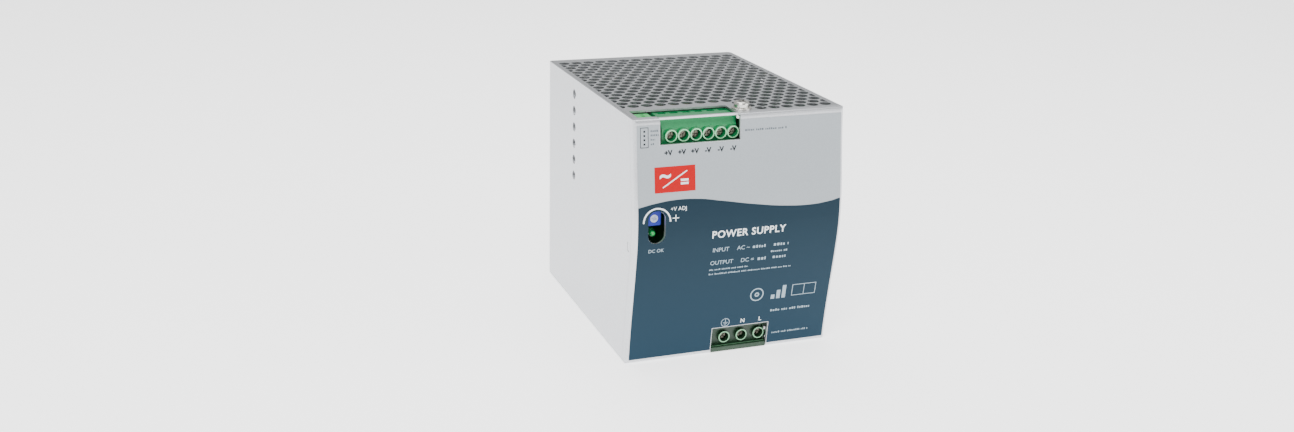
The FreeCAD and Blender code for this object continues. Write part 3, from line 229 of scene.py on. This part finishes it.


# label: polyester film, screen printed; grey above a wave and slate blue below it, the blue with painted
# shade that darkens it towards the top and leaves it lighter towards the bottom

labelLook = {"greyDark": "949A9F", "greyLight": "9BA1A5", "shadedBlueTop": "06212E", "litBlueBottom": "0C2D3E",
             "wave": [(-53.3, 83.9), (-44.6, 85.5), (-34.5, 86.5), (-24.3, 86.2), (-10.6, 84.1),
                      (6.9, 81.0), (24.6, 78.7), (37.2, 78.2), (48.1, 79.2), (53.4, 80.3)],
             "waveLow": 74.0, "waveHigh": 90.0, "halfWidth": 55.0, "edge": 0.12,
             "leftDrop": 0.02, "rightRise": 0.01,   # past the last points, as shares of the wave's height
             "grain": 0.5, "depth": 0.004, "strength": 0.08, "roughness": 0.5, "specular": 0.18}


def labelFilm(look):
    material, tree, place = newMaterial("printedPolyester")
    fac, normal = grainBump(tree, place, look["grain"], look["depth"], look["strength"])
    axes = addNode(tree, "ShaderNodeSeparateXYZ", links={"Vector": place})
    half = look["halfWidth"] * mm
    across = addNode(tree, "ShaderNodeMapRange", {"From Min": -half, "From Max": half},
                     {"Value": axes.outputs["X"]})
    curve = addNode(tree, "ShaderNodeFloatCurve", links={"Value": across.outputs["Result"]})
    points = [((x + look["halfWidth"]) / (2 * look["halfWidth"]),
               (z - look["waveLow"]) / (look["waveHigh"] - look["waveLow"])) for x, z in look["wave"]]
    line = curve.mapping.curves[0]
    line.points[0].location = (0.0, points[0][1] - look["leftDrop"])
    line.points[1].location = (1.0, points[-1][1] + look["rightRise"])
    for point in points:
        line.points.new(*point)
    curve.mapping.update()
    level = addNode(tree, "ShaderNodeMapRange",
                    {"To Min": look["waveLow"] * mm, "To Max": look["waveHigh"] * mm},
                    {"Value": curve.outputs["Value"]})
    above = addNode(tree, "ShaderNodeMath", links={0: axes.outputs["Z"], 1: level.outputs["Result"]},
                    operation="SUBTRACT")
    edge = addNode(tree, "ShaderNodeMapRange",
                   {"From Min": -look["edge"] * mm, "From Max": look["edge"] * mm},
                   {"Value": above.outputs["Value"]})
    grey = twoTone(tree, fac, grainLow, grainHigh, look["greyDark"], look["greyLight"])
    # painted shade: the blue runs from a lighter tone at the bottom edge to a darker one at the top of the
    # wave
    blue = twoTone(tree, axes.outputs["Z"], 0.0, look["waveHigh"] * mm,
                   look["litBlueBottom"], look["shadedBlueTop"])
    mix = addNode(tree, "ShaderNodeMix", links={"Factor": edge.outputs["Result"], "A": blue, "B": grey},
                  data_type="RGBA")
    finishMaterial(tree, {"Roughness": look["roughness"], "Specular IOR Level": look["specular"]},
                   {"Base Color": mix.outputs["Result"], "Normal": normal})
    return material


finish["printedPolyester"] = labelFilm(labelLook)


# lamp: tinted clear epoxy, cast; faintly lit green, brighter towards its tip

lampLook = {"deep": "0E7A38", "bright": "35D06A", "tintDepth": 2.0, "roughness": 0.12,
            "transmission": 0.35, "glow": 0.12}


def lampEpoxy(look):
    material, tree, place = newMaterial("tintedEpoxy")
    axes = addNode(tree, "ShaderNodeSeparateXYZ", links={"Vector": place})
    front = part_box("status_lamp")[0].y
    colour = twoTone(tree, axes.outputs["Y"], front + look["tintDepth"] * mm, front,
                     look["deep"], look["bright"])
    finishMaterial(tree, {"Roughness": look["roughness"], "Transmission Weight": look["transmission"],
                          "Emission Strength": look["glow"]},
                   {"Base Color": colour, "Emission Color": colour})
    return material


finish["tintedEpoxy"] = lampEpoxy(lampLook)
print("finishes made:", len(finish))


# a finish for every CAD part

partFinish = {
    "blastedAluminium": ["chassis", "front_panel"],
    "punchedAluminium": ["top_grille", "bottom_grille"],
    "printedPolyester": ["front_label"],
    "nickelSteel": ["case_screws", "earth_screw", "earth_washer", "earth_nut", "board_screws"],
    "zincSheet": ["clip_bracket", "clip_slider"],
    "drawnWire": ["clip_spring"],
    "terminalPbt": ["output_terminal"],
    "shadowedPolyamide": ["input_terminal"],
    "lightPolyamide": ["signal_header", "signal_plug"],
    "tinnedBrass": ["output_contacts", "input_contacts", "header_pins", "signal_contacts",
                    "board_standoffs"],
    "bluePbt": ["trimmer_body"],
    "whitePbt": ["trimmer_rotor"],
    "tintedEpoxy": ["status_lamp"],
    "boardLaminate": ["control_board", "front_board", "main_board"],
    "polyesterFilm": ["insulating_sheet"],
    "extrudedAluminium": ["heat_sinks", "clip_rivets"],
    "mouldedEpoxy": ["power_transistors"],
    "sinteredFerrite": ["transformer_core", "chokes"],
    "windingTape": ["transformer_winding"],
    "shrunkSleeve": ["bulk_capacitors", "output_capacitors"],
    "filmBox": ["film_capacitors"],
}
finishOf = {part: name for name, parts in partFinish.items() for part in parts}
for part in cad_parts:   # the table leaves out the terminal clamps, their screws and the plug's
    if part not in finishOf:
        finishOf[part] = "tinnedBrass" if "clamp" in part else "wellShadedSteel"
for part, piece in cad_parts.items():
    material = finish[finishOf[part]]
    if not piece.material_slots:
        piece.data.materials.append(material)
    for holder in piece.material_slots:
        holder.material = material
print("parts finished:", len(finishOf))


# from a bmesh to a piece

def meshFrom(built, name):
    mesh = bpy.data.meshes.new(name)
    built.to_mesh(mesh)
    built.free()
    return mesh


def newPiece(name, mesh, material):
    mesh.materials.clear()
    mesh.materials.append(material)
    piece = bpy.data.objects.new(name, mesh)
    bpy.context.scene.collection.objects.link(piece)
    return piece


# clip spring: a copy of the CAD spring's mesh, welded into one piece, takes its place

springLook = {"weld": 0.0005}   # millimetres, enough to join the mesh's loose triangles
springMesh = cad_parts["clip_spring"].data.copy()
built = bmesh.new()
built.from_mesh(springMesh)
bmesh.ops.remove_doubles(built, verts=built.verts, dist=springLook["weld"] * mm)
bmesh.ops.recalc_face_normals(built, faces=built.faces)
built.to_mesh(springMesh)
built.free()
spring = newPiece("coilSpring", springMesh, finish["drawnWire"])
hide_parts("clip_spring")
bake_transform(spring)
print("spring made")


# prints on the front: thin ink, laid on the label's own surface

inkLook = {"thickness": 0.03, "lift": 0.015, "overRed": 2.5, "castFrom": 50.0}   # overRed is in lifts
built = bmesh.new()
built.from_mesh(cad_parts["front_label"].data)
labelSurface = BVHTree.FromBMesh(built)
built.free()
ahead = cadLow.y - inkLook["castFrom"] * mm

# screen ink: dried flat with little gloss, so it keeps its colour under the lights
inkFinish = {"roughness": 0.5, "grain": 0.4, "depth": 0.004, "strength": 0.05,
             "extra": {"Specular IOR Level": 0.15}}
inkColours = {"whiteInk": "DDE3E6", "greyInk": "565E64", "blackInk": "15181C", "redInk": "A8000A",
              "paleInk": "93A3AE"}
inks = {name: grainyMaterial(name, dict(inkFinish, dark=code, light=code))
        for name, code in inkColours.items()}


def layOnLabel(name, mesh, ink):
    lift = inkLook["lift"] * (inkLook["overRed"] if ink == "whiteInk" else 1.0)   # white goes over the red
    for vertex in mesh.vertices:
        x, z, rise = vertex.co.x, vertex.co.y, vertex.co.z
        hit = labelSurface.ray_cast(Vector((x, ahead, z)), Vector((0, 1, 0)))[0]
        if hit is None:
            hit = labelSurface.find_nearest(Vector((x, cadLow.y, z)))[0]
        vertex.co = Vector((x, hit.y - lift * mm - rise, z))
    piece = newPiece(name, mesh, inks[ink])
    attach(piece, "case")


wordLook = {"curveSteps": 3}


def wordMesh(word):
    curve = bpy.data.curves.new("word", "FONT")
    curve.body = word["word"]
    curve.size = word["size"] * mm
    curve.align_x = "CENTER"
    curve.align_y = "CENTER"
    curve.extrude = inkLook["thickness"] * mm / 2
    curve.offset = word["bold"] * mm
    curve.space_character = word.get("spacing", 1.0)
    curve.resolution_u = wordLook["curveSteps"]
    holder = bpy.data.objects.new("word", curve)
    bpy.context.scene.collection.objects.link(holder)
    bpy.context.view_layer.update()
    depsgraph = bpy.context.evaluated_depsgraph_get()
    mesh = bpy.data.meshes.new_from_object(holder.evaluated_get(depsgraph))
    bpy.data.objects.remove(holder)
    bpy.data.curves.remove(curve)
    x, z = word["centre"]
    mesh.transform(Matrix.Translation((x * mm, z * mm, inkLook["thickness"] * mm / 2)))
    return mesh


plateLook = {"longest": 4.0, "cuts": 6}   # a longer edge is divided, so its plate follows the label


def plateMesh(shapes):
    built = bmesh.new()
    for x0, x1, z0, z1 in shapes:
        made = bmesh.ops.create_cube(built, size=1.0)["verts"]
        bmesh.ops.scale(built, verts=made, vec=((x1 - x0) * mm, (z1 - z0) * mm, inkLook["thickness"] * mm))
        bmesh.ops.translate(built, verts=made, vec=((x0 + x1) / 2 * mm, (z0 + z1) / 2 * mm,
                                                    inkLook["thickness"] * mm / 2))
    longEdges = [edge for edge in built.edges if edge.calc_length() > plateLook["longest"] * mm]
    if longEdges:
        bmesh.ops.subdivide_edges(built, edges=longEdges, cuts=plateLook["cuts"], use_grid_fill=True)
    return meshFrom(built, "plates")


ringSteps = 36


def ringMesh(ring):
    built = bmesh.new()
    inner = ring["radius"] - ring["width"] / 2
    outer = ring["radius"] + ring["width"] / 2
    thick = inkLook["thickness"]
    corners = [built.verts.new((r * mm, 0, z * mm))
               for r, z in ((inner, 0), (outer, 0), (outer, thick), (inner, thick))]
    face = built.faces.new(corners)
    full = ring["sweep"] >= 360
    bmesh.ops.spin(built, geom=[face, *face.edges, *face.verts], cent=(0, 0, 0), axis=(0, 0, 1),
                   angle=math.radians(ring["sweep"]), steps=ringSteps, use_merge=full)
    if full:
        built.faces.remove(face)
    x, z = ring["centre"]
    bmesh.ops.translate(built, verts=built.verts, vec=(x * mm, z * mm, 0))
    bmesh.ops.recalc_face_normals(built, faces=built.faces)
    return meshFrom(built, "ring")


words = {
    "titleWords": {"word": "POWER SUPPLY", "size": 5.2, "centre": (4.4, 67.0), "ink": "whiteInk", "bold": 0.1,
                   "spacing": 1.1},
    "inputWord": {"word": "INPUT", "size": 3.1, "centre": (-9.9, 58.8), "ink": "paleInk", "bold": 0.02},
    "inputKind": {"word": "AC ~", "size": 3.1, "centre": (2.2, 58.8), "ink": "paleInk", "bold": 0.02},
    "outputWord": {"word": "OUTPUT", "size": 3.1, "centre": (-8.8, 51.8), "ink": "paleInk", "bold": 0.02},
    "outputKind": {"word": "DC =", "size": 3.1, "centre": (5.0, 51.8), "ink": "paleInk", "bold": 0.02},
    "adjustWords": {"word": "+V ADJ", "size": 2.7, "centre": (-32.9, 82.1), "ink": "whiteInk", "bold": 0.0},
    "lampWords": {"word": "DC OK", "size": 2.5, "centre": (-43.9, 61.7), "ink": "paleInk", "bold": 0.02},
    "neutralMark": {"word": "N", "size": 3.2, "centre": (6.7, 16.8), "ink": "whiteInk", "bold": 0.05},
    "liveMark": {"word": "L", "size": 3.2, "centre": (16.3, 16.8), "ink": "whiteInk", "bold": 0.05},
    "currentWave": {"word": "~", "size": 9.5, "centre": (-39.6, 98.4), "ink": "whiteInk", "bold": 0.25},
    "currentBars": {"word": "=", "size": 7.5, "centre": (-29.8, 94.6), "ink": "whiteInk", "bold": 0.22},
}
poleMarks = {"places": (-37.9, -31.0, -24.4, -17.7, -11.1, -4.6),
             "words": ("+V", "+V", "+V", "-V", "-V", "-V"),
             "size": 3.3, "height": 108.9, "ink": "blackInk", "bold": 0.14}
for number, (x, word) in enumerate(zip(poleMarks["places"], poleMarks["words"]), 1):
    words["poleMark%d" % number] = {"word": word, "size": poleMarks["size"],
                                    "centre": (x, poleMarks["height"]), "ink": poleMarks["ink"],
                                    "bold": poleMarks["bold"]}

# the plate carries a plain converter sign: a wave, a slanted line and two bars
signPlate = {"shapes": [(-45.0, -24.3, 90.3, 102.6)], "ink": "redInk"}
layOnLabel("signPlate", plateMesh(signPlate["shapes"]), signPlate["ink"])
for name, word in words.items():
    layOnLabel(name, wordMesh(word), word["ink"])


# small print: rows of letter-sized blocks that say nothing

smallPrint = {   # each row is its left end, right end, height and letter size
    "wireNote": {"rows": [(1.7, 23.8, 117.3, 1.1)], "ink": "greyInk"},
    "signalNote": {"rows": [(-46.6, -42.6, 119.9, 1.0), (-46.6, -42.6, 117.9, 1.0),
                            (-46.6, -44.4, 115.9, 1.0), (-46.6, -45.0, 113.8, 1.0)], "ink": "greyInk"},
    "inputNote": {"rows": [(7.2, 14.6, 58.8, 1.7), (18.6, 26.6, 58.9, 1.7), (17.4, 26.4, 55.2, 1.1)],
                  "ink": "paleInk"},
    "outputNote": {"rows": [(10.6, 15.0, 51.8, 1.7), (18.8, 25.8, 52.0, 1.7)], "ink": "paleInk"},
    "fineNote": {"rows": [(-15.0, 5.8, 48.2, 0.85), (-15.0, 29.4, 45.8, 0.85)], "ink": "paleInk"},
    "lowerNote": {"rows": [(21.7, 44.6, 20.9, 1.3), (24.0, 44.6, 7.7, 1.0)], "ink": "paleInk"},
}
letterLook = {"widthShare": 0.72, "gapShare": 0.34, "wordGapShare": 0.95, "shortest": 3, "longest": 8,
              "widthSpread": (0.6, 1.1), "heightSpread": (0.62, 1.0), "seed": 7}
draw = random.Random(letterLook["seed"])


def letterBlocks(x0, x1, z, size):
    blocks = []
    x = x0
    left = draw.randint(letterLook["shortest"], letterLook["longest"])
    while x < x1:
        wide = size * letterLook["widthShare"] * draw.uniform(*letterLook["widthSpread"])
        tall = size * draw.uniform(*letterLook["heightSpread"])
        blocks.append((x, min(x + wide, x1), z - size / 2, z - size / 2 + tall))
        left -= 1
        x += wide + size * (letterLook["gapShare"] if left else letterLook["wordGapShare"])
        left = left or draw.randint(letterLook["shortest"], letterLook["longest"])
    return blocks


for name, note in smallPrint.items():
    blocks = [block for row in note["rows"] for block in letterBlocks(*row)]
    layOnLabel(name, plateMesh(blocks), note["ink"])


# signs: outlines, dots and rings

def outline(x0, x1, z0, z1, line):
    return [(x0, x1, z0, z0 + line), (x0, x1, z1 - line, z1), (x0, x0 + line, z0 + line, z1 - line),
            (x1 - line, x1, z0 + line, z1 - line)]


signalBox = {"edges": (-51.8, -47.7, 112.1, 121.7), "line": 0.28,
             "dotHeights": (119.8, 117.8, 115.8, 113.8), "dotX": -49.75, "dotSize": 0.9}
dotHalf = signalBox["dotSize"] / 2
dots = [(signalBox["dotX"] - dotHalf, signalBox["dotX"] + dotHalf, z - dotHalf, z + dotHalf)
        for z in signalBox["dotHeights"]]
layOnLabel("signalBox", plateMesh(outline(*signalBox["edges"], signalBox["line"])), "blackInk")
layOnLabel("signalDots", plateMesh(dots), "blackInk")

signs = {
    "barSign": {"shapes": [(20.9, 22.9, 27.6, 30.0), (23.9, 25.9, 27.6, 32.4), (26.9, 28.9, 27.6, 34.8)],
                "ink": "paleInk"},
    "boxSign": {"shapes": outline(32.3, 45.7, 28.2, 34.6, 0.35) + [(38.9, 39.2, 28.5, 34.3)],
                "ink": "paleInk"},
    "earthBars": {"shapes": [(-2.95, -2.65, 17.1, 18.9), (-4.1, -1.5, 16.8, 17.1), (-3.7, -1.9, 16.1, 16.4),
                             (-3.2, -2.4, 15.4, 15.7)], "ink": "paleInk"},
    "adjustPlus": {"shapes": [(-36.0, -32.8, 77.45, 77.85), (-34.6, -34.2, 76.05, 77.45),
                              (-34.6, -34.2, 77.85, 79.25)], "ink": "whiteInk"},
}
for name, sign in signs.items():
    layOnLabel(name, plateMesh(sign["shapes"]), sign["ink"])

rings = {
    "adjustArc": {"centre": (-43.9, 76.2), "radius": 6.8, "width": 0.75, "sweep": 180, "ink": "whiteInk"},
    "earthRing": {"centre": (-2.8, 17.0), "radius": 2.2, "width": 0.35, "sweep": 360, "ink": "paleInk"},
    "markRing": {"centre": (12.9, 31.1), "radius": 3.4, "width": 0.6, "sweep": 360, "ink": "paleInk"},
    "markDot": {"centre": (12.9, 31.1), "radius": 0.9, "width": 0.7, "sweep": 360, "ink": "paleInk"},
}
for name, ring in rings.items():
    layOnLabel(name, ringMesh(ring), ring["ink"])

slant = {"centre": (-34.65, 96.45), "length": 14.5, "line": 0.55, "angle": 31.0, "ink": "whiteInk"}
thick = inkLook["thickness"] * mm
slantX, slantZ = slant["centre"]
turn = Matrix.Rotation(math.radians(slant["angle"]), 3, "Z")
built = bmesh.new()
bmesh.ops.create_cube(built, size=1.0)
bmesh.ops.scale(built, verts=built.verts, vec=(slant["length"] * mm, slant["line"] * mm, thick))
bmesh.ops.rotate(built, verts=built.verts, cent=(0, 0, 0), matrix=turn)
bmesh.ops.translate(built, verts=built.verts, vec=(slantX * mm, slantZ * mm, thick / 2))
layOnLabel("signSlant", meshFrom(built, "slant"), slant["ink"])
print("front printed")


# room: pale floor, soft lights

roomLook = {"floorSize": 8.0, "glow": 1.7, "air": "F8F9FA", "airStrength": 0.7}
# floor: emulsion paint, rolled; matte, with a swell too broad and shallow to notice
floorLook = {"dark": "FAFAFA", "light": "FCFCFC", "roughness": 0.7, "grain": 40.0, "depth": 0.01,
             "strength": 0.02,
             "extra": {"Emission Color": fromHex("FFFFFF"), "Emission Strength": roomLook["glow"]}}
built = bmesh.new()
bmesh.ops.create_grid(built, x_segments=1, y_segments=1, size=roomLook["floorSize"] / 2)
floor = newPiece("floor", meshFrom(built, "floor"), grainyMaterial("paintedFloor", floorLook))

world = bpy.data.worlds.new("studio")
bpy.context.scene.world = world
world.use_nodes = True
sky = world.node_tree.nodes["Background"]
sky.inputs["Color"].default_value = fromHex(roomLook["air"])
sky.inputs["Strength"].default_value = roomLook["airStrength"]

middle = (cadLow + cadHigh) / 2
lamps = {
    "keyLight": {"place": (-0.55, -0.75, 0.95), "size": 0.7, "power": 14.0},
    "fillLight": {"place": (0.9, -0.7, 0.5), "size": 0.9, "power": 6.0},
    "topLight": {"place": (0.05, 0.25, 1.2), "size": 0.9, "power": 9.0},
}
for name, lamp in lamps.items():
    data = bpy.data.lights.new(name, "AREA")
    data.size = lamp["size"]
    data.energy = lamp["power"]
    light = bpy.data.objects.new(name, data)
    light.location = Vector(lamp["place"])
    light.rotation_euler = (middle - light.location).to_track_quat("-Z", "Y").to_euler()
    bpy.context.scene.collection.objects.link(light)


# camera

view = {"azimuth": -20.72, "elevation": 18.4, "roll": 1.51, "place": (-256.5, -623.1, 275.0),
        "lens": 36.45626, "sensor": 36.0, "clip": 50.0}   # degrees and millimetres
azimuth, elevation, roll = (math.radians(view[key]) for key in ("azimuth", "elevation", "roll"))
back = Vector((math.sin(azimuth) * math.cos(elevation), -math.cos(azimuth) * math.cos(elevation),
               math.sin(elevation)))
level = Vector((0, 0, 1)).cross(back).normalized()
upward = back.cross(level)
right = math.cos(roll) * level + math.sin(roll) * upward
up = -math.sin(roll) * level + math.cos(roll) * upward
cameraData = bpy.data.cameras.new("camera")
cameraData.sensor_width = view["sensor"]
cameraData.lens = view["lens"]
cameraData.clip_start = view["clip"] * mm
camera = bpy.data.objects.new("camera", cameraData)
facing = Matrix((right, up, back)).transposed().to_4x4()
camera.matrix_world = Matrix.Translation(Vector(view["place"]) * mm) @ facing
bpy.context.scene.collection.objects.link(camera)
bpy.context.scene.camera = camera
print("room, lights and camera made")
